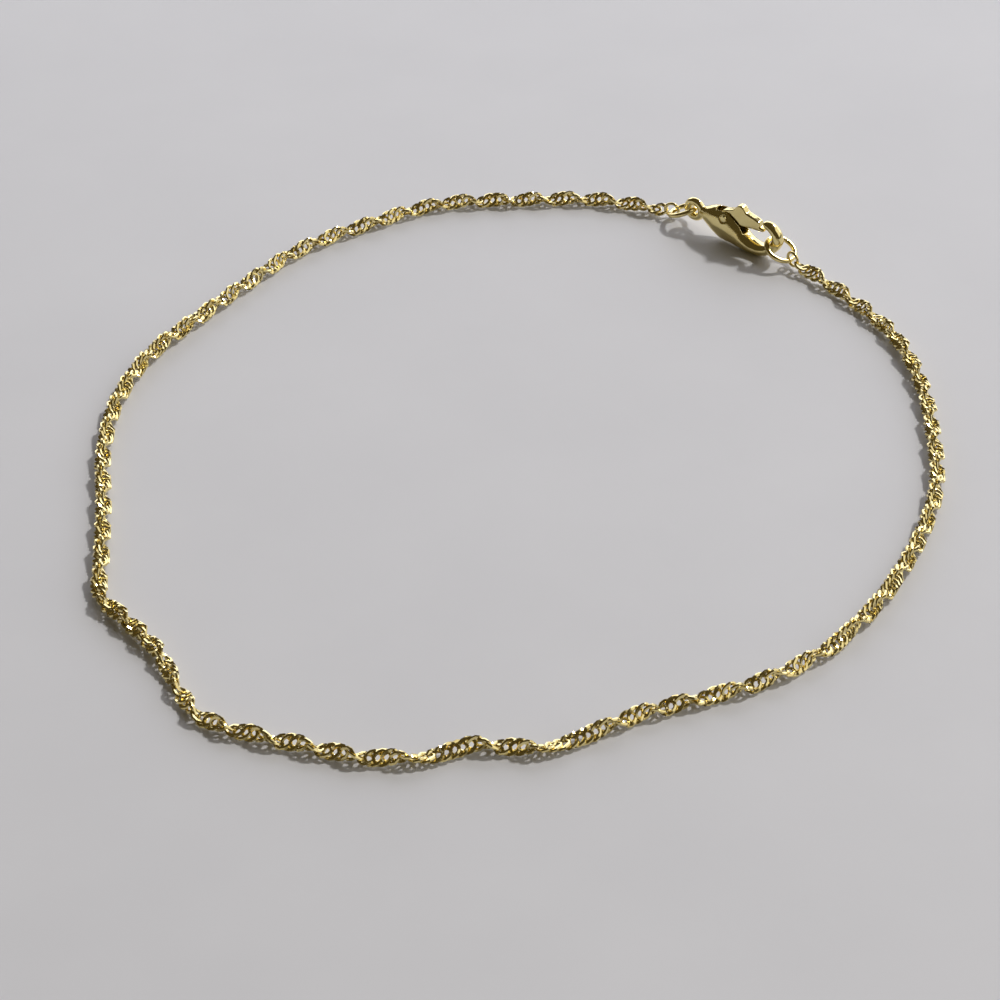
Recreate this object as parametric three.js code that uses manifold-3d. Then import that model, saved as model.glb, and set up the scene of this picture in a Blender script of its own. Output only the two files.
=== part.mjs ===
// A chain anklet: a fine twisted gold chain, closed by a lobster clasp, lying in a loose loop.
// Millimetres, +Z up. The origin is on the surface that it lies on, at the middle of the loop,
// and +Y runs across the loop towards the side that has the clasp.
import * as THREE from 'three';
import { mergeVertices } from 'three/addons/utils/BufferGeometryUtils.js';
import Module from 'manifold-3d';

const wasm = await Module();
wasm.setup();

// The chain is a flat band of interlocked links, wound about its own middle line as it runs.
const BAND = { width: 1.5, thickness: 0.6, sides: 8, step: 0.4 };
const BAND_HEIGHT = 0.765; // of its middle line above the surface, where the band is on edge
const BAND_SAG = 0.31; // how much lower the middle line is where the band lies flat
const HALVES_GAP = 0.2; // between the two halves of the band, where they meet
const END_LINK = { radius: 0.7, wire: 0.15 }; // the last link at each end, which holds a ring

// Middle line of the chain, as x and y, from the ring at the clasp's tail, along the far side,
// down the left, along the near side and up the right to the ring that the clasp holds.
const ROUTE = [
  [15.6, 40.0], [8.0, 42.5], [0.1, 42.4], [-7.8, 41.6], [-14.8, 37.8], [-21.3, 33.1],
  [-26.1, 27.0], [-30.5, 20.5], [-34.7, 13.7], [-36.9, 6.0], [-37.2, -1.9], [-36.3, -9.9],
  [-35.6, -17.8], [-35.1, -22.4], [-32.4, -26.0], [-29.6, -29.7], [-27.7, -33.9], [-25.4, -37.8],
  [-21.3, -39.8], [-16.9, -41.2], [-12.5, -42.5], [-7.9, -42.5], [-3.6, -41.1], [1.0, -41.5],
  [5.0, -39.9], [8.9, -37.6], [13.2, -35.9], [17.5, -34.3], [21.5, -32.0], [25.1, -29.1],
  [28.0, -25.6], [30.6, -21.7], [34.1, -14.6], [36.5, -7.0], [37.2, 1.0], [37.1, 9.0],
  [35.6, 16.8], [31.9, 23.9], [27.0, 30.3],
];
const FIRST_HEIGHT = 0.95; // the two ends are lifted a little by the rings
const LAST_HEIGHT = 1.05;

// How far the band has wound, in half turns, at lengths along the chain. It is uneven, with two
// long slack stretches on the near side.
const TWIST = [
  [0, 0.5], [100.9, 28.64], [104.4, 29.67], [107.2, 30.67], [109.9, 31.62], [114.1, 32.61],
  [117.7, 33.67], [120.9, 34.75], [124.6, 35.76], [128.2, 36.76], [131.7, 37.76], [135.7, 38.77],
  [139.0, 39.06], [140.5, 39.27], [142.4, 39.77], [146.2, 40.77], [149.0, 41.01], [151.1, 41.25],
  [153.1, 41.75], [156.7, 42.76], [159.8, 43.76], [164.2, 44.75], [167.7, 45.74], [171.7, 46.72],
  [177.5, 47.67], [181.2, 48.64], [185.4, 49.62], [188.4, 50.6], [190.9, 51.58], [194.5, 52.55],
  [198.3, 53.51], [238.6, 64.5],
];
// Each half turn goes fastest where the band's upper edge leans over towards the near side, at
// this slope, and slowest a quarter turn from there.
const FLIP = { slope: 0.75, gain: 0.4 };

// The clasp stands on its back edge, in a frame of its own: X from its eye to its nose, Z up.
const CLASP_PLACE = { x: 17.79, y: 38.14, height: 2.14, turn: THREE.MathUtils.degToRad(-40.4) };
const EYE = { radius: 0.85, wire: 0.4 };
const RING = { radius: 1.5, wire: 0.25, slope: THREE.MathUtils.degToRad(25) };
const CATCH = { x: 9.24, z: 0.1 }; // where the caught ring passes through the claw

// Claw, from the neck at its eye, round the nose and back to the hook's tip.
const CLAW = [
  { x: 0.8, z: 0.0, tall: 0.4, thick: 0.4 },
  { x: 1.6, z: 0.05, tall: 0.9, thick: 0.74 },
  { x: 2.6, z: 0.02, tall: 1.45, thick: 1.0 },
  { x: 3.8, z: -0.15, tall: 1.8, thick: 1.1 },
  { x: 5.0, z: -0.55, tall: 1.55, thick: 1.1 },
  { x: 6.0, z: -1.05, tall: 1.06, thick: 1.02 },
  { x: 7.2, z: -1.4, tall: 0.74, thick: 0.92 },
  { x: 8.4, z: -1.38, tall: 0.64, thick: 0.84 },
  { x: 9.45, z: -0.9, tall: 0.58, thick: 0.76 },
  { x: 10.15, z: 0.0, tall: 0.55, thick: 0.7 },
  { x: 10.02, z: 0.88, tall: 0.52, thick: 0.62 },
  { x: 9.4, z: 1.42, tall: 0.48, thick: 0.56 },
  { x: 8.75, z: 1.58, tall: 0.37, thick: 0.46 },
  { x: 8.42, z: 1.6, tall: 0.16, thick: 0.22 },
];
const SLOT = { left: 2.9, right: 7.5, floor: -0.3, top: 3.4, width: 1.0 };
const PIVOT = { x: 4.1, z: 0.75, rivet: 0.35, length: 1.92 };
const RIVET_GAP = 0.05; // between the rivet and the holes that it passes through

// Side outline of the lever: under its boss, along its lower edge to the tip below the hook,
// back along its top, over the thumb knob and round the boss.
const LEVER = [
  [3.32, 0.75], [3.5, 0.26], [4.1, 0.02], [4.9, 0.12], [6.0, 0.42], [7.2, 0.6], [8.1, 0.68],
  [8.62, 0.74], [8.72, 0.9], [8.62, 1.06], [8.14, 1.1], [8.08, 1.64], [7.5, 1.84], [6.8, 1.98],
  [6.4, 2.08], [6.15, 2.45], [5.78, 2.66], [5.4, 2.58], [5.16, 2.25], [4.9, 1.96], [4.3, 1.7],
  [3.7, 1.48], [3.4, 1.14],
];
const LEVER_THICK = 0.8;
const LEVER_BEVEL = 0.1;

const gold = new THREE.MeshStandardMaterial({ color: 0xd8b255, roughness: 0.18, metalness: 1 });

// Shares the corners of neighbouring triangles, so that the surface is closed.
function weld(geometry) {
  geometry.deleteAttribute('normal');
  geometry.deleteAttribute('uv');
  return mergeVertices(geometry, 1e-4);
}

function toSolid(geometry) {
  const welded = weld(geometry);
  const vertProperties = new Float32Array(welded.attributes.position.array);
  const triVerts = new Uint32Array(welded.index.array);
  return new wasm.Manifold(new wasm.Mesh({ numProp: 3, vertProperties, triVerts }));
}

function toGeometry(solid) {
  const mesh = solid.getMesh();
  const geometry = new THREE.BufferGeometry();
  geometry.setAttribute('position', new THREE.BufferAttribute(mesh.vertProperties, 3));
  geometry.setIndex(new THREE.BufferAttribute(mesh.triVerts, 1));
  return geometry;
}

// A closed tube: place(t, a, b, point) puts the point at t, from 0 to 1 along the tube, that has
// the coordinates a and b on a round section of radius 1.
function tube(sides, steps, place) {
  const geometry = new THREE.CylinderGeometry(1, 1, 1, sides, steps);
  const positions = geometry.attributes.position;
  const point = new THREE.Vector3();
  for (let i = 0; i < positions.count; i++) {
    point.fromBufferAttribute(positions, i);
    place(point.y + 0.5, point.x, point.z, point);
    positions.setXYZ(i, point.x, point.y, point.z);
  }
  return geometry;
}

// A flat plate cut to a side outline, standing in the XZ plane with its thickness along Y.
function plate(outline, thick, bevel) {
  const shape = new THREE.Shape(outline.map(([x, z]) => new THREE.Vector2(x, z)));
  const geometry = new THREE.ExtrudeGeometry(shape, {
    depth: thick - 2 * bevel,
    bevelEnabled: bevel > 0,
    bevelThickness: bevel,
    bevelSize: bevel,
    bevelOffset: -bevel,
    bevelSegments: 1,
  });
  geometry.translate(0, 0, bevel - thick / 2);
  geometry.rotateX(Math.PI / 2);
  return geometry;
}

const route = new THREE.CatmullRomCurve3(
  ROUTE.map(([x, y], i) => {
    const last = ROUTE.length - 1;
    const height = i === 0 ? FIRST_HEIGHT : i === last ? LAST_HEIGHT : BAND_HEIGHT;
    return new THREE.Vector3(x, y, height);
  }),
  false,
  'catmullrom',
  0.5,
);
route.arcLengthDivisions = 4000;
const chainLength = route.getLength();

function halfTurnsAt(length, along) {
  let i = 1;
  while (i < TWIST.length - 1 && TWIST[i][0] < length) i++;
  const [fromLength, fromTurns] = TWIST[i - 1];
  const [toLength, toTurns] = TWIST[i];
  const turns = fromTurns + ((toTurns - fromTurns) * (length - fromLength)) / (toLength - fromLength);
  const flip = 1 - Math.atan2(FLIP.slope, along.x) / Math.PI;
  return turns + (FLIP.gain * Math.sin(2 * Math.PI * (turns - flip))) / (2 * Math.PI);
}

// Place, direction and level sideways direction of the chain's middle line.
function frameAt(length) {
  const u = length / chainLength;
  const along = route.getTangentAt(u);
  const side = new THREE.Vector3(-along.y, along.x, 0).normalize();
  return { place: route.getPointAt(u), along, side };
}

// The wound band between two lengths along the chain.
function band(from, to) {
  const steps = Math.round((to - from) / BAND.step);
  const across = new THREE.Vector3();
  const through = new THREE.Vector3();
  return tube(BAND.sides, steps, (t, a, b, point) => {
    const length = from + t * (to - from);
    const { place, along, side } = frameAt(length);
    const turn = Math.PI * halfTurnsAt(length, along);
    across.copy(side).applyAxisAngle(along, turn);
    through.crossVectors(along, across);
    point.copy(place);
    point.z -= BAND_SAG * Math.cos(turn) ** 2;
    point.addScaledVector(through, (a * BAND.thickness) / 2);
    point.addScaledVector(across, (b * BAND.width) / 2);
  });
}

// The last link stands upright, in line with the chain.
function endLink(length) {
  const { place, along, side } = frameAt(length);
  const link = new THREE.TorusGeometry(END_LINK.radius, END_LINK.wire, 6, 14);
  const up = new THREE.Vector3().crossVectors(along, side);
  link.applyMatrix4(new THREE.Matrix4().makeBasis(along, up, side.clone().negate()));
  link.translate(place.x, place.y, place.z);
  return link;
}

const middle = chainLength / 2;
const chainLeft = toSolid(band(END_LINK.radius, middle - HALVES_GAP / 2)).add(toSolid(endLink(0)));
const chainRight = toSolid(band(middle + HALVES_GAP / 2, chainLength - END_LINK.radius)).add(
  toSolid(endLink(chainLength)),
);

// The claw is an oval bar that thickens into the body behind the opening.
const clawLine = new THREE.CatmullRomCurve3(
  CLAW.map((row) => new THREE.Vector3(row.x, 0, row.z)),
  false,
  'catmullrom',
  0.5,
);
const clawSize = new THREE.CatmullRomCurve3(
  CLAW.map((row) => new THREE.Vector3(row.tall, row.thick, 0)),
  false,
  'catmullrom',
  0.5,
);
const claw = tube(14, 30, (t, a, b, point) => {
  const along = clawLine.getTangent(t);
  const size = clawSize.getPoint(t);
  clawLine.getPoint(t, point);
  point.x -= along.z * a * size.x;
  point.z += along.x * a * size.x;
  point.y += b * size.y;
});
const eye = new THREE.TorusGeometry(EYE.radius, EYE.wire, 8, 18).rotateX(Math.PI / 2);
const slot = plate(
  [[SLOT.left, SLOT.floor], [SLOT.right, SLOT.floor], [SLOT.right, SLOT.top], [SLOT.left, SLOT.top]],
  SLOT.width,
  0,
);

function pivotBar(radius, length) {
  const bar = new THREE.CylinderGeometry(radius, radius, length, 16);
  return bar.translate(PIVOT.x, 0, PIVOT.z);
}

const rivetHole = toSolid(pivotBar(PIVOT.rivet + RIVET_GAP, 4));
const claspBody = toSolid(claw).add(toSolid(eye)).subtract(toSolid(slot)).subtract(rivetHole);
const claspLever = toSolid(plate(LEVER, LEVER_THICK, LEVER_BEVEL)).subtract(rivetHole);

// A jump ring through the point given, sloping down to the chain on one side of it.
function jumpRing(name, x, z, side) {
  const ring = new THREE.Mesh(weld(new THREE.TorusGeometry(RING.radius, RING.wire, 6, 16)), gold);
  ring.name = name;
  ring.rotation.y = side * RING.slope;
  ring.position.set(
    x + side * RING.radius * Math.cos(RING.slope),
    0,
    z - RING.radius * Math.sin(RING.slope),
  );
  return ring;
}

function piece(name, geometry) {
  const mesh = new THREE.Mesh(geometry, gold);
  mesh.name = name;
  return mesh;
}

const clasp = new THREE.Group();
clasp.position.set(CLASP_PLACE.x, CLASP_PLACE.y, CLASP_PLACE.height);
clasp.rotation.z = CLASP_PLACE.turn;
clasp.add(piece('clasp_body', toGeometry(claspBody)));
clasp.add(piece('clasp_lever', toGeometry(claspLever)));
clasp.add(piece('clasp_rivet', weld(pivotBar(PIVOT.rivet, PIVOT.length))));
clasp.add(jumpRing('tail_ring', 0, 0, -1));
clasp.add(jumpRing('catch_ring', CATCH.x, CATCH.z, 1));

const anklet = new THREE.Group();
anklet.add(piece('chain_left', toGeometry(chainLeft)));
anklet.add(piece('chain_right', toGeometry(chainRight)));
anklet.add(clasp);

export default anklet;
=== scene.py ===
import bpy
import numpy as np
from mathutils import Matrix


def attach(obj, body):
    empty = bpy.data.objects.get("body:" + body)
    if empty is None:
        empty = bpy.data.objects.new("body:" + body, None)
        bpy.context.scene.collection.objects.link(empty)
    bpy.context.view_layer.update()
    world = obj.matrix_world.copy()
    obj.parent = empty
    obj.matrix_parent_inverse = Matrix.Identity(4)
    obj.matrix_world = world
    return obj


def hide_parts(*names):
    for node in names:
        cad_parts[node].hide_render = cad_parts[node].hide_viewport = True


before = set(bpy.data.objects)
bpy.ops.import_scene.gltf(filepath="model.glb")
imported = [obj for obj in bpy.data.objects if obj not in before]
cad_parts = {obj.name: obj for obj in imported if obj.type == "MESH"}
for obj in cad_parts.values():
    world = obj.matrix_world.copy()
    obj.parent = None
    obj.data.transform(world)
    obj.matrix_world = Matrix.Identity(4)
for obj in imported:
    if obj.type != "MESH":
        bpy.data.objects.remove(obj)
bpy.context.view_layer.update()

# The view: a long lens, looking down on the loop from its near side. It stands a quarter of a metre
# off, so the back of the loop shows about three quarters as large as the near side.
CAMERA_PLACE = (-0.00181, -0.20532, 0.14591)
CAMERA_DIP = np.radians(36.5)
LENS_MM = 100.8
SENSOR_MM = 36.0
NEAREST_SEEN = 0.01
camera_data = bpy.data.cameras.new("camera")
camera_data.sensor_width = SENSOR_MM
camera_data.lens = LENS_MM
camera_data.clip_start = NEAREST_SEEN
camera = bpy.data.objects.new("camera", camera_data)
camera.location = CAMERA_PLACE
camera.rotation_euler = (np.pi / 2 - CAMERA_DIP, 0.0, 0.0)
bpy.context.collection.objects.link(camera)
bpy.context.scene.camera = camera

# The floor: a wide sheet of pale, faintly mottled board. The chain and the clasp rest on it and
# throw short shadows to the near left.
FLOOR_HALF = 2.0
FLOOR_PALE = (0.69, 0.695, 0.73, 1.0)
FLOOR_DEEP = (0.63, 0.635, 0.67, 1.0)
FLOOR_MOTTLE = 60.0
FLOOR_DETAIL = 4.0
FLOOR_ROUGHNESS = 0.55
floor_mesh = bpy.data.meshes.new("floor")
floor_mesh.from_pydata(
    [
        (-FLOOR_HALF, -FLOOR_HALF, 0.0),
        (FLOOR_HALF, -FLOOR_HALF, 0.0),
        (FLOOR_HALF, FLOOR_HALF, 0.0),
        (-FLOOR_HALF, FLOOR_HALF, 0.0),
    ],
    [],
    [(0, 1, 2, 3)],
)
floor = bpy.data.objects.new("floor", floor_mesh)
bpy.context.collection.objects.link(floor)
floor_finish = bpy.data.materials.new("pale_board")
floor_finish.use_nodes = True
floor_nodes = floor_finish.node_tree
floor_shader = floor_nodes.nodes["Principled BSDF"]
floor_shader.inputs["Roughness"].default_value = FLOOR_ROUGHNESS
floor_place = floor_nodes.nodes.new("ShaderNodeTexCoord")
floor_cloud = floor_nodes.nodes.new("ShaderNodeTexNoise")
floor_cloud.inputs["Scale"].default_value = FLOOR_MOTTLE
floor_cloud.inputs["Detail"].default_value = FLOOR_DETAIL
floor_tone = floor_nodes.nodes.new("ShaderNodeValToRGB")
floor_tone.color_ramp.elements[0].color = FLOOR_DEEP
floor_tone.color_ramp.elements[1].color = FLOOR_PALE
floor_nodes.links.new(floor_place.outputs["Object"], floor_cloud.inputs["Vector"])
floor_nodes.links.new(floor_cloud.outputs["Fac"], floor_tone.inputs["Fac"])
floor_nodes.links.new(floor_tone.outputs["Color"], floor_shader.inputs["Base Color"])
floor_mesh.materials.append(floor_finish)

# The light: a small key lamp and a wide soft panel behind and to the right, and a second panel at
# the right side, in a dim room.
LAMP_AWAY = 0.9
KEY_ROUND = np.radians(50.0)
KEY_HEIGHT = np.radians(48.0)
KEY_STRENGTH = 1.6
KEY_SPREAD = np.radians(6.0)
KEY_COLOUR = (1.0, 0.97, 0.92)
PANEL_ROUND = np.radians(15.0)
PANEL_HEIGHT = np.radians(22.0)
PANEL_WIDE = 2.4
PANEL_TALL = 0.66
PANEL_POWER = 9.5
PANEL_COLOUR = (0.95, 0.97, 1.08)
SIDE_ROUND = np.radians(100.0)
SIDE_HEIGHT = np.radians(36.0)
SIDE_WIDE = 0.9
SIDE_POWER = 2.3
SIDE_COLOUR = (1.0, 0.98, 0.95)
ROOM_COLOUR = (0.066, 0.052, 0.025, 1.0)
world = bpy.data.worlds.new("room")
world.use_nodes = True
room = world.node_tree.nodes["Background"]
room.inputs["Color"].default_value = ROOM_COLOUR
bpy.context.scene.world = world
bpy.context.scene.view_settings.view_transform = "Standard"


def aim(lamp, height, turn, away):
    """Stands a lamp away from the loop's middle, at a height and a turn from straight behind."""
    level = away * np.cos(height)
    lamp.location = (level * np.sin(turn), level * np.cos(turn), away * np.sin(height))
    lamp.rotation_euler = (height - np.pi / 2, 0.0, -turn)
    bpy.context.collection.objects.link(lamp)


key_data = bpy.data.lights.new("key", "SUN")
key_data.energy = KEY_STRENGTH
key_data.angle = KEY_SPREAD
key_data.color = KEY_COLOUR
aim(bpy.data.objects.new("key", key_data), KEY_HEIGHT, KEY_ROUND, LAMP_AWAY)
panel_data = bpy.data.lights.new("panel", "AREA")
panel_data.shape = "RECTANGLE"
panel_data.size = PANEL_WIDE
panel_data.size_y = PANEL_TALL
panel_data.energy = PANEL_POWER
panel_data.color = PANEL_COLOUR
aim(bpy.data.objects.new("panel", panel_data), PANEL_HEIGHT, PANEL_ROUND, LAMP_AWAY)
side_data = bpy.data.lights.new("side_panel", "AREA")
side_data.shape = "SQUARE"
side_data.size = SIDE_WIDE
side_data.energy = SIDE_POWER
side_data.color = SIDE_COLOUR
aim(bpy.data.objects.new("side_panel", side_data), SIDE_HEIGHT, SIDE_ROUND, LAMP_AWAY)

# The chain: a curb of gold wire, each link passing through the next and meeting the one after it,
# wound about its own middle line as it is made. The wire is rolled wider along the band's edges,
# which are cut bright. On the slack left and right the links are pushed together, so it is fuller.
MM = 0.001
LINK_PITCH = 0.68 * MM
LINK_HALF_LENGTH = 0.66 * MM
LINK_HALF_WIDTH = 0.565 * MM
LINK_POINT = 0.03 * MM
LINK_LIFT = 0.20 * MM
LINK_SLANT = 0.11 * MM
LINK_LEAN = 0.02
LEAN_SEED = 7
LINK_STEPS = 12
SIDE_HALF_WIDTH = 0.205 * MM
SIDE_HALF_THICK = 0.155 * MM
END_HALF_WIDTH = 0.145 * MM
END_HALF_THICK = 0.10 * MM
WIRE_CORNERS = np.radians([30, 90, 150, 210, 270, 330])
WIRE_EDGE = np.radians(40.0)
CUT_HALF_WIDTH = 0.745 * MM
FIRST_LINK = 1.23 * MM
SLACK = np.array([
    # length along the chain in mm, how far the links are pushed together there, 0 to 1
    [46.0, 0.0], [62.0, 1.0], [107.0, 1.0], [113.0, 0.0],
    [172.0, 0.0], [182.0, 1.0], [222.0, 1.0], [232.0, 0.0],
])
SLACK_SAMPLES = 4001
SLACK_PITCH = 0.49 * MM
SLACK_LIFT = 0.42 * MM
SLACK_RISE = 0.125 * MM
BAND_HEIGHT = 0.80
BAND_SAG = 0.31 * MM
FLIP_SLOPE = 0.75
FLIP_GAIN = 0.4
FIRST_HEIGHT = 0.95
LAST_HEIGHT = 1.05
ROUTE = np.array([
    # x and y of the middle line in mm, from the tail ring round to the catch ring
    [15.6, 40.0], [8.0, 42.5], [0.1, 42.4], [-7.8, 41.6], [-14.8, 37.8], [-21.3, 33.1],
    [-26.1, 27.0], [-30.5, 20.5], [-34.7, 13.7], [-36.9, 6.0], [-37.2, -1.9], [-36.3, -9.9],
    [-35.6, -17.8], [-35.1, -22.4], [-32.4, -26.0], [-29.6, -29.7], [-27.7, -33.9], [-25.4, -37.8],
    [-21.3, -39.8], [-16.9, -41.2], [-12.5, -42.5], [-7.9, -42.5], [-3.6, -41.1], [1.0, -41.5],
    [5.0, -39.9], [8.9, -37.6], [13.2, -35.9], [17.5, -34.3], [21.5, -32.0], [25.1, -29.1],
    [28.0, -25.6], [30.6, -21.7], [34.1, -14.6], [36.5, -7.0], [37.2, 1.0], [37.1, 9.0],
    [35.6, 16.8], [31.9, 23.9], [27.0, 30.3],
])
ROUTE_STEPS = 60
TWIST = np.array([
    # length along the chain in mm, half turns that the band has made up to there
    [0, 0.5], [100.9, 28.64], [104.4, 29.67], [107.2, 30.67], [109.9, 31.62], [114.1, 32.61],
    [117.7, 33.67], [120.9, 34.75], [124.6, 35.76], [128.2, 36.76], [131.7, 37.76], [135.7, 38.77],
    [139.0, 39.06], [140.5, 39.27], [142.4, 39.77], [146.2, 40.77], [149.0, 41.01], [151.1, 41.25],
    [153.1, 41.75], [156.7, 42.76], [159.8, 43.76], [164.2, 44.75], [167.7, 45.74], [171.7, 46.72],
    [177.5, 47.67], [181.2, 48.64], [185.4, 49.62], [188.4, 50.6], [190.9, 51.58], [194.5, 52.55],
    [198.3, 53.51], [238.6, 64.5],
])


def smooth_line(rows, steps):
    """Cubic curve through the rows: between two rows, each end leaves along half the step from
    the row before to the row after it. The first and last rows are carried on straight."""
    ends = np.vstack([2 * rows[0] - rows[1], rows, 2 * rows[-1] - rows[-2]])
    before, here, after, beyond = ends[:-3], ends[1:-2], ends[2:-1], ends[3:]
    leave = (after - before)[:, None] / 2
    arrive = (beyond - here)[:, None] / 2
    t = np.linspace(0, 1, steps, endpoint=False)[None, :, None]
    here, after = here[:, None], after[:, None]
    curve = (
        (2 * here - 2 * after + leave + arrive) * t**3
        + (3 * after - 3 * here - 2 * leave - arrive) * t**2
        + leave * t
        + here
    )
    return np.vstack([curve.reshape(-1, rows.shape[1]), rows[-1:]])


def unit(vectors):
    """Vectors over their own lengths."""
    return vectors / np.linalg.norm(vectors, axis=-1, keepdims=True)


heights = np.full(len(ROUTE), BAND_HEIGHT)
heights[0] = FIRST_HEIGHT
heights[-1] = LAST_HEIGHT
line = smooth_line(np.column_stack([ROUTE, heights]) * MM, ROUTE_STEPS)
line_steps = np.linalg.norm(np.diff(line, axis=0), axis=1)
line_length = np.concatenate([[0], np.cumsum(line_steps)])
chain_length = line_length[-1]
line_along = unit(np.gradient(line, line_length, axis=0))


def band_frame(length, lean):
    """The chain's middle at each length, and the directions along it, across the wound band and
    through it. The band stands at the angle that it has wound to there, plus a link's own lean.
    A sine makes each half turn fastest where the upper edge leans to the near side. The middle
    sags by the square of the angle's cosine, so most where the band lies flat."""
    middle, along = (
        np.stack([np.interp(length, line_length, column) for column in values.T], axis=-1)
        for values in (line, line_along)
    )
    along = unit(along)
    side = unit(np.stack([-along[..., 1], along[..., 0], np.zeros_like(length)], axis=-1))
    up = np.cross(along, side)
    turns = np.interp(length / MM, TWIST[:, 0], TWIST[:, 1])
    flip = 1 - np.arctan2(FLIP_SLOPE, along[..., 0]) / np.pi
    turns = turns + FLIP_GAIN / (2 * np.pi) * np.sin(2 * np.pi * (turns - flip))
    turn = np.pi * (turns + lean)[..., None]
    across = side * np.cos(turn) + up * np.sin(turn)
    middle = middle - np.array([0, 0, BAND_SAG]) * np.cos(turn) ** 2
    return middle, along, across, np.cross(along, across)


def wire_loop(middle, out, thick, wide, angles):
    """An oval section carried along closed loops: square to the loop, each angle's cosine is scaled
    by the half thickness along the out direction, and its sine by the half width across it. The
    second axis of the middle points runs round the loop."""
    along = unit(np.roll(middle, -1, axis=1) - np.roll(middle, 1, axis=1))
    out = unit(out - along * np.sum(out * along, axis=-1, keepdims=True))
    side = np.cross(along, out)
    high = np.asarray(thick)[..., None, None] * np.cos(angles)[:, None]
    broad = np.asarray(wide)[..., None, None] * np.sin(angles)[:, None]
    return middle[:, :, None] + out[:, :, None] * high + side[:, :, None] * broad


def loop_faces(count, steps, sides):
    """Quads of count tubes that are closed on themselves, steps long and sides round."""
    tube = np.arange(count)[:, None, None]
    step = np.arange(steps)[None, :, None]
    side = np.arange(sides)[None, None, :]

    def corner(i, j):
        """The number of a point, counting on from the start where a row or a round is over."""
        return (tube * steps + i % steps) * sides + j % sides

    quad = [
        corner(step, side),
        corner(step, side + 1),
        corner(step + 1, side + 1),
        corner(step + 1, side),
    ]
    return np.stack(np.broadcast_arrays(*quad), axis=-1).reshape(-1, 4)


def piece(name, points, faces, finish):
    """A smooth-shaded object at the origin from arrays of corners and faces."""
    mesh = bpy.data.meshes.new(name)
    mesh.from_pydata(points.reshape(-1, 3), [], faces)
    mesh.shade_smooth()
    mesh.materials.append(finish)
    made = bpy.data.objects.new(name, mesh)
    bpy.context.collection.objects.link(made)
    return made


# The number of links up to a length is the sum of short steps over the spacing at each, and the
# links stand at even steps of that number.
fine = np.linspace(FIRST_LINK, chain_length - FIRST_LINK, SLACK_SAMPLES)
pitch = LINK_PITCH + (SLACK_PITCH - LINK_PITCH) * np.interp(fine / MM, SLACK[:, 0], SLACK[:, 1])
links_passed = np.concatenate([[0], np.cumsum(np.diff(fine) / pitch[1:])])
link_count = int(round(links_passed[-1])) + 1
link_place = np.interp(np.linspace(0, links_passed[-1], link_count), links_passed, fine)[:, None]
link_slack = np.interp(link_place / MM, SLACK[:, 0], SLACK[:, 1])
dice = np.random.default_rng(LEAN_SEED)
link_lean = dice.normal(0, LINK_LEAN, (link_count, 1))
# Round a link the cosine runs ahead and the sine aside, and three times the angle points its ends.
# The sine of twice the angle lifts its sides out of the band, and the cube of the cosine slants its
# ends, so that each passes through the next.
angle = (np.arange(LINK_STEPS) * 2 * np.pi / LINK_STEPS)[None, :]
cos, sin = np.cos(angle), np.sin(angle)
ahead = LINK_HALF_LENGTH * cos + LINK_POINT * np.cos(3 * angle)
aside = LINK_HALF_WIDTH * sin - LINK_POINT * np.sin(3 * angle)
link_lift = LINK_LIFT + (SLACK_LIFT - LINK_LIFT) * link_slack
lift = -link_lift * np.sin(2 * angle) * np.abs(sin) - LINK_SLANT * cos**3
middle, along, across, through = band_frame(link_place + ahead, link_lean)
wire = middle + across * aside[..., None] + through * lift[..., None]
wire_thick = END_HALF_THICK + (SIDE_HALF_THICK - END_HALF_THICK) * sin**2
wire_wide = END_HALF_WIDTH + (SIDE_HALF_WIDTH - END_HALF_WIDTH) * sin**2
links = wire_loop(wire, through, wire_thick, wire_wide, WIRE_CORNERS)
# The cut takes off whatever reaches past the band's half width.
reach = np.sum((links - middle[:, :, None]) * across[:, :, None], axis=-1)
cut = np.clip(reach, -CUT_HALF_WIDTH, CUT_HALF_WIDTH) - reach
links = links + across[:, :, None] * cut[..., None]
# The fuller stretches lie a little higher, so that they rest on the floor.
links[..., 2] += SLACK_RISE * link_slack[..., None]

GOLD_BRIGHT = (0.90, 0.775, 0.38, 1.0)
GOLD_DULL = (0.83, 0.675, 0.285, 1.0)
TONE_SPAN = (0.35, 0.75)
GLOSS_SPAN = (0.3, 0.75)
CLOUD_DETAIL = 5.0
SCRATCH_DETAIL = 3.0
SCRATCHES_PER_GRAIN = 6
DENTS_PER_GRAIN = 20
DENT_STRENGTH = 0.12
CHAIN_ROUGHNESS = (0.10, 0.20)
CHAIN_GRAIN = 0.5 * MM


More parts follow.
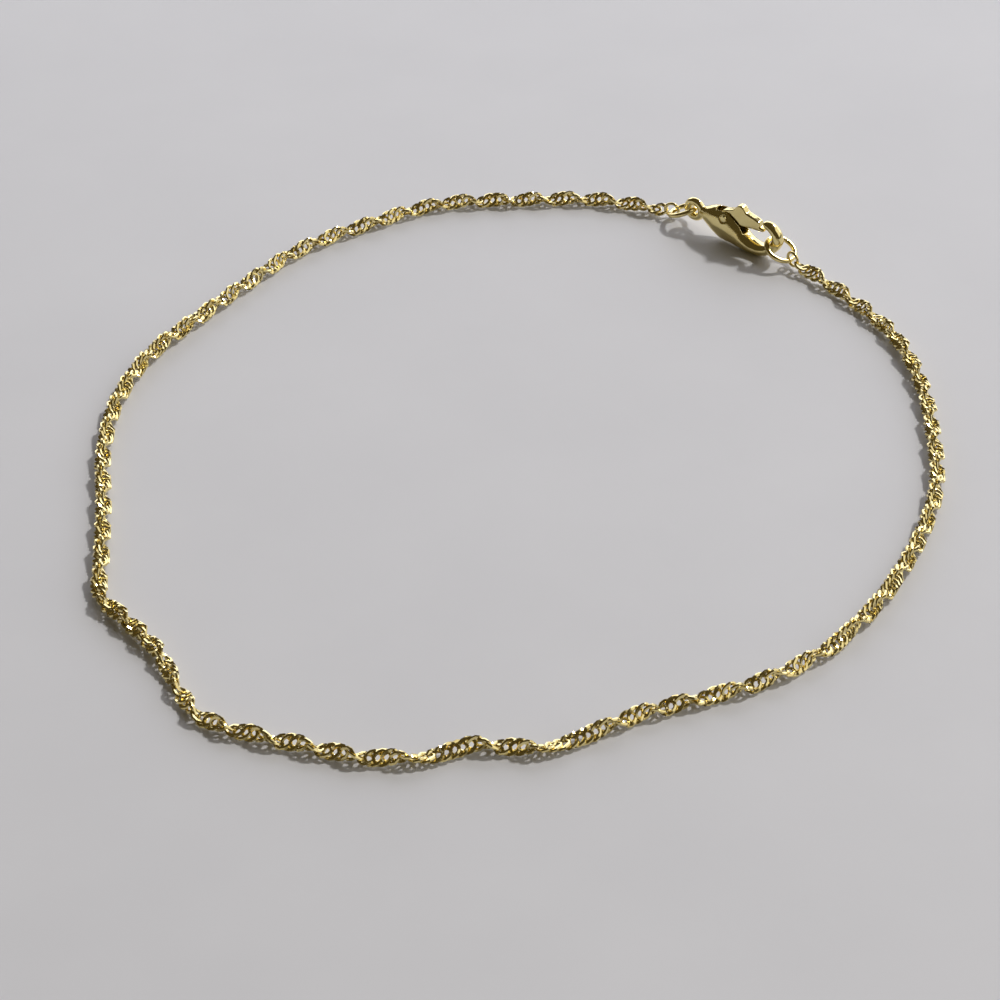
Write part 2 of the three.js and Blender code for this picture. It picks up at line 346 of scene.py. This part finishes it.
def gold_finish(name, roughness, grain):
    """Polished gold: a cloud as fine as the grain runs the colour from bright to dull and the
    roughness from its first value to its second, and a finer one dents the surface a little."""
    finish = bpy.data.materials.new(name)
    finish.use_nodes = True
    tree = finish.node_tree
    shader = tree.nodes["Principled BSDF"]
    shader.inputs["Metallic"].default_value = 1.0
    place = tree.nodes.new("ShaderNodeTexCoord")
    cloud = tree.nodes.new("ShaderNodeTexNoise")
    cloud.inputs["Scale"].default_value = 1 / grain
    cloud.inputs["Detail"].default_value = CLOUD_DETAIL
    tone = tree.nodes.new("ShaderNodeValToRGB")
    tone.color_ramp.elements[0].position = TONE_SPAN[0]
    tone.color_ramp.elements[0].color = GOLD_BRIGHT
    tone.color_ramp.elements[1].position = TONE_SPAN[1]
    tone.color_ramp.elements[1].color = GOLD_DULL
    gloss = tree.nodes.new("ShaderNodeMapRange")
    gloss.inputs["From Min"].default_value = GLOSS_SPAN[0]
    gloss.inputs["From Max"].default_value = GLOSS_SPAN[1]
    gloss.inputs["To Min"].default_value = roughness[0]
    gloss.inputs["To Max"].default_value = roughness[1]
    scratch = tree.nodes.new("ShaderNodeTexNoise")
    scratch.inputs["Scale"].default_value = SCRATCHES_PER_GRAIN / grain
    scratch.inputs["Detail"].default_value = SCRATCH_DETAIL
    dent = tree.nodes.new("ShaderNodeBump")
    dent.inputs["Strength"].default_value = DENT_STRENGTH
    dent.inputs["Distance"].default_value = grain / DENTS_PER_GRAIN
    tree.links.new(place.outputs["Object"], cloud.inputs["Vector"])
    tree.links.new(place.outputs["Object"], scratch.inputs["Vector"])
    tree.links.new(cloud.outputs["Fac"], tone.inputs["Fac"])
    tree.links.new(cloud.outputs["Fac"], gloss.inputs["Value"])
    tree.links.new(tone.outputs["Color"], shader.inputs["Base Color"])
    tree.links.new(gloss.outputs["Result"], shader.inputs["Roughness"])
    tree.links.new(scratch.outputs["Fac"], dent.inputs["Height"])
    tree.links.new(dent.outputs["Normal"], shader.inputs["Normal"])
    return finish


chain_gold = gold_finish("cut_chain_gold", CHAIN_ROUGHNESS, CHAIN_GRAIN)
chain_faces = loop_faces(link_count, LINK_STEPS, len(WIRE_CORNERS))
chain = piece("chain_links", links, chain_faces, chain_gold)
chain.data.set_sharp_from_angle(angle=WIRE_EDGE)
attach(chain, "anklet")
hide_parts("chain_left", "chain_right")

# The end links: a small soldered ring of round wire at each end of the chain, standing upright.
# The chain's last link and a jump ring both pass through it.
END_RADIUS = 0.7 * MM
END_WIRE = 0.15 * MM
END_STEPS = 28
END_SIDES = 12
round_end = np.linspace(0, 2 * np.pi, END_STEPS, endpoint=False)[None, :, None]
round_end_wire = np.linspace(0, 2 * np.pi, END_SIDES, endpoint=False)
end_place = np.array([[0.0], [chain_length]])
middle, along, _, _ = band_frame(end_place, np.zeros_like(end_place))
side = unit(np.stack([-along[..., 1], along[..., 0], np.zeros_like(end_place)], axis=-1))
up = np.cross(along, side)
ends = middle + END_RADIUS * (along * np.cos(round_end) + up * np.sin(round_end))
ends = wire_loop(ends, np.broadcast_to(side, ends.shape), END_WIRE, END_WIRE, round_end_wire)
end_links = piece("end_links", ends, loop_faces(len(ends), END_STEPS, END_SIDES), chain_gold)
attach(end_links, "anklet")

# The jump rings: round gold wire bent to a ring with its ends butted, one through the clasp's eye
# and one caught in its mouth. They slope down to the chain. The sizes of the rings and the clasp are
# in mm, in the clasp's own frame, which starts in its eye.
CLASP_PLACE = (17.79, 38.14, 2.14)
CLASP_TURN = np.radians(-40.4)
RING_RADIUS = 1.5
RING_WIRE = 0.25
RING_SLOPE = np.radians(25.0)
RING_STEPS = 72
RING_SIDES = 20
RING_BUTT = 1.9
BUTT_HALF = 0.02
BUTT_DEPTH = 0.3
CATCH_X = 9.24
CATCH_Z = 0.1
RING_ROUGHNESS = (0.10, 0.18)
RING_GRAIN = 0.8 * MM
clasp_turn = Matrix.Rotation(CLASP_TURN, 4, "Z")
clasp_frame = Matrix.Scale(MM, 4) @ Matrix.Translation(CLASP_PLACE) @ clasp_turn
ring_gold = gold_finish("drawn_ring_gold", RING_ROUGHNESS, RING_GRAIN)


def jump_ring(name, x, z, way, node):
    """A ring of round wire through a point of the clasp, sloping down away from it one way. The
    wire's radius dips over a short angle, where the two ends of the wire meet."""
    even = np.linspace(BUTT_HALF * 2, 2 * np.pi - BUTT_HALF * 2, RING_STEPS)
    angle = np.concatenate([[-BUTT_HALF, 0.0, BUTT_HALF], even])
    radius = np.where(np.abs(angle) < BUTT_HALF / 2, 1 - BUTT_DEPTH, 1.0) * RING_WIRE
    turn = (angle + RING_BUTT)[:, None]
    out = np.array([np.cos(RING_SLOPE), 0.0, -way * np.sin(RING_SLOPE)])
    level = np.array([0.0, 1.0, 0.0])
    down = np.array([way * np.cos(RING_SLOPE), 0.0, -np.sin(RING_SLOPE)])
    centre = np.array([x, 0.0, z]) + RING_RADIUS * down
    radial = out * np.cos(turn) + level * np.sin(turn)
    axis = np.cross(out, level)
    section = np.linspace(0, 2 * np.pi, RING_SIDES, endpoint=False)[None, :, None]
    points = (
        centre
        + RING_RADIUS * radial[:, None]
        + radius[:, None, None] * (axis * np.cos(section) + radial[:, None] * np.sin(section))
    )
    ring = piece(name, points, loop_faces(1, len(angle), RING_SIDES), ring_gold)
    ring.data.transform(clasp_frame)
    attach(ring, "anklet")
    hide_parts(node)


jump_ring("tail_jump_ring", 0.0, 0.0, -1, "tail_ring")
jump_ring("catch_jump_ring", CATCH_X, CATCH_Z, 1, "catch_ring")

# The clasp's body: one gold casting, with a small eye at its tail, a full round back and a hook
# that bends over to the mouth. A slot for the lever is milled in from above.
CLAW = np.array([
    # x, z, half height, half thickness
    [0.8, 0.0, 0.4, 0.4],
    [1.6, 0.05, 0.9, 0.74],
    [2.6, 0.02, 1.45, 1.0],
    [3.8, -0.15, 1.8, 1.1],
    [5.0, -0.55, 1.55, 1.1],
    [6.0, -1.05, 1.06, 1.02],
    [7.2, -1.4, 0.74, 0.92],
    [8.4, -1.38, 0.64, 0.84],
    [9.45, -0.9, 0.58, 0.76],
    [10.15, 0.0, 0.55, 0.7],
    [10.02, 0.88, 0.52, 0.62],
    [9.4, 1.42, 0.48, 0.56],
    [8.75, 1.58, 0.37, 0.46],
    [8.42, 1.6, 0.16, 0.22],
])
CLAW_STEPS = 12
CLAW_SIDES = 48
EYE_RADIUS = 0.85
EYE_WIRE = 0.4
SLOT_LOW = (2.9, -0.5, -0.3)
SLOT_HIGH = (7.5, 0.5, 3.4)
PIVOT_X = 4.1
PIVOT_Z = 0.75
RIVET_RADIUS = 0.35
RIVET_GAP = 0.04
BORE_HALF = 2.0
CAST_GRAIN = 0.06
CAST_PASSES = 6
CLASP_ROUGHNESS = (0.09, 0.20)
CLASP_GRAIN = 1.5 * MM
clasp_gold = gold_finish("cast_clasp_gold", CLASP_ROUGHNESS, CLASP_GRAIN)
claw_line = smooth_line(CLAW, CLAW_STEPS)
claw_x, claw_z, claw_tall, claw_thick = (column[:, None] for column in claw_line.T)
claw_along = unit(np.gradient(claw_line[:, :2], axis=0))
claw_round = np.linspace(0, 2 * np.pi, CLAW_SIDES, endpoint=False)[None, :]
claw = np.stack(
    [
        claw_x - claw_along[:, 1:] * claw_tall * np.cos(claw_round),
        -claw_thick * np.sin(claw_round),
        claw_z + claw_along[:, :1] * claw_tall * np.cos(claw_round),
    ],
    axis=-1,
)


def tube_faces(steps, sides):
    """Quads of an open tube, steps sections long, with a flat face over each end."""
    quads = loop_faces(1, steps, sides)[: (steps - 1) * sides]
    first = np.arange(sides)[::-1]
    last = np.arange(sides) + (steps - 1) * sides
    return quads.tolist() + [first.tolist(), last.tolist()]


eye_round = np.linspace(0, 2 * np.pi, CLAW_SIDES, endpoint=False)[:, None]
eye_wire = np.linspace(0, 2 * np.pi, CLAW_SIDES // 2, endpoint=False)[None, :]
eye_out = EYE_RADIUS + EYE_WIRE * np.cos(eye_wire)
eye = np.stack(
    [
        eye_out * np.cos(eye_round),
        EYE_WIRE * np.sin(eye_wire) + 0 * eye_round,
        eye_out * np.sin(eye_round),
    ],
    axis=-1,
)


def pivot_bar(places, radii):
    """Rounds on the lever's pivot line, one at each place through the clasp's thickness, with the
    cosine and the sine of the turn scaled by that place's radius."""
    turn = np.linspace(0, 2 * np.pi, CLAW_SIDES, endpoint=False)[None, :]
    through = np.reshape(places, (-1, 1))
    radius = np.reshape(radii, (-1, 1))
    rounds = [PIVOT_X + radius * np.cos(turn), through + 0 * turn, PIVOT_Z - radius * np.sin(turn)]
    return np.stack(np.broadcast_arrays(*rounds), axis=-1)


def slot_block():
    """The milled slot, as a block from its low corner to its high one."""
    corners = np.array([[x, y, z] for x in (0, 1) for y in (0, 1) for z in (0, 1)])
    points = np.array(SLOT_LOW) + corners * (np.array(SLOT_HIGH) - np.array(SLOT_LOW))
    faces = [[0, 1, 3, 2], [4, 6, 7, 5], [0, 4, 5, 1], [2, 3, 7, 6], [0, 2, 6, 4], [1, 5, 7, 3]]
    return points, faces


def carved(name, start, tools, grain, passes):
    """The start shape joined with or cut by each tool, then recast in grains of one size with its
    edges rubbed round, and put in the clasp's place."""
    for operation, tool in tools:
        step = start.modifiers.new(operation, "BOOLEAN")
        step.operation = operation
        step.solver = "EXACT"
        step.object = tool
    cast = start.modifiers.new("cast", "REMESH")
    cast.mode = "VOXEL"
    cast.voxel_size = grain
    rub = start.modifiers.new("rub", "SMOOTH")
    rub.iterations = passes
    shaped = start.evaluated_get(bpy.context.evaluated_depsgraph_get())
    mesh = bpy.data.meshes.new_from_object(shaped)
    mesh.name = name
    mesh.transform(clasp_frame)
    mesh.shade_smooth()
    made = bpy.data.objects.new(name, mesh)
    bpy.context.collection.objects.link(made)
    for used in [start] + [tool for _, tool in tools]:
        bpy.data.objects.remove(used)
    return made


slot_points, slot_faces = slot_block()
bore = pivot_bar([-BORE_HALF, BORE_HALF], [RIVET_RADIUS + RIVET_GAP] * 2)
rough_claw = piece("rough_claw", claw, tube_faces(len(claw), CLAW_SIDES), clasp_gold)
rough_eye = piece("rough_eye", eye, loop_faces(1, CLAW_SIDES, CLAW_SIDES // 2), clasp_gold)
rough_slot = piece("rough_slot", slot_points, slot_faces, clasp_gold)
rough_bore = piece("rough_bore", bore, tube_faces(2, CLAW_SIDES), clasp_gold)
body = carved(
    "clasp_casting",
    rough_claw,
    [("UNION", rough_eye), ("DIFFERENCE", rough_slot), ("DIFFERENCE", rough_bore)],
    CAST_GRAIN,
    CAST_PASSES,
)
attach(body, "anklet")
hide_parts("clasp_body")

# The rivet: a short gold pin through both cheeks of the body, on which the lever turns. Its ends
# are spread to low domes.
RIVET_HALF = 0.93
RIVET_DOME = 0.06
RIVET_SPREAD = np.radians([0, 15, 30, 45, 60, 75, 85])
dome_out = RIVET_HALF + RIVET_DOME * np.sin(RIVET_SPREAD)
dome_radius = RIVET_RADIUS * np.cos(RIVET_SPREAD)
pin_places = np.append(-dome_out[::-1], dome_out)
pin_radii = np.append(dome_radius[::-1], dome_radius)
pin = pivot_bar(pin_places, pin_radii)
rivet = piece("clasp_pin", pin, tube_faces(len(pin), CLAW_SIDES), clasp_gold)
rivet.data.transform(clasp_frame)
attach(rivet, "anklet")
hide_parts("clasp_rivet")

# The lever: a plate that turns on the rivet, its edges rounded over, with a knob for the thumb.
# A spring holds its tip up under the hook, which closes the mouth.
LEVER = np.array([
    # x and z of the corners round the plate
    [3.32, 0.75], [3.5, 0.26], [4.1, 0.02], [4.9, 0.12], [6.0, 0.42], [7.2, 0.6], [8.1, 0.68],
    [8.62, 0.74], [8.72, 0.9], [8.62, 1.06], [8.14, 1.1], [8.08, 1.64], [7.5, 1.84], [6.8, 1.98],
    [6.4, 2.08], [6.15, 2.45], [5.78, 2.66], [5.4, 2.58], [5.16, 2.25], [4.9, 1.96], [4.3, 1.7],
    [3.7, 1.48], [3.4, 1.14],
])
LEVER_HALF_THICK = 0.4
LEVER_ROUND = 0.14
LEVER_EDGE = np.radians([90, 67.5, 45, 22.5, 0])
LEVER_SOFT = 0.07
LEVER_STEPS = 240
LEVER_GRAIN = 0.05
LEVER_PASSES = 4


def soft_outline(corners, count, soft):
    """Even points along a closed outline, each averaged with its neighbours under a bell curve."""
    loop = np.vstack([corners, corners[:1]])
    run = np.concatenate([[0], np.cumsum(np.linalg.norm(np.diff(loop, axis=0), axis=1))])
    at = np.linspace(0, run[-1], count, endpoint=False)
    even = np.stack([np.interp(at, run, column) for column in loop.T], axis=-1)
    bell = np.exp(-((np.minimum(at, run[-1] - at) / soft) ** 2) / 2)
    waves = np.fft.rfft(even, axis=0) * np.fft.rfft(bell / bell.sum())[:, None]
    return np.fft.irfft(waves, count, axis=0)


outline = soft_outline(LEVER, LEVER_STEPS, LEVER_SOFT)
outline_along = unit(np.roll(outline, -1, axis=0) - np.roll(outline, 1, axis=0))
inward = np.stack([-outline_along[:, 1], outline_along[:, 0]], axis=-1)
edge_in = LEVER_ROUND * (1 - np.cos(LEVER_EDGE))
edge_out = LEVER_HALF_THICK - LEVER_ROUND * (1 - np.sin(LEVER_EDGE))
rows_in = np.append(edge_in, edge_in[::-1])[:, None, None]
rows_out = np.append(edge_out, -edge_out[::-1])[:, None]
rows = outline + inward * rows_in
plate = np.stack([rows[..., 0], rows_out + 0 * rows[..., 0], rows[..., 1]], axis=-1)
rough_plate = piece("rough_plate", plate, tube_faces(len(plate), LEVER_STEPS), clasp_gold)
rough_bore = piece("rough_bore", bore, tube_faces(2, CLAW_SIDES), clasp_gold)
lever = carved(
    "clasp_trigger",
    rough_plate,
    [("DIFFERENCE", rough_bore)],
    LEVER_GRAIN,
    LEVER_PASSES,
)
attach(lever, "lever")
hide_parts("clasp_lever")
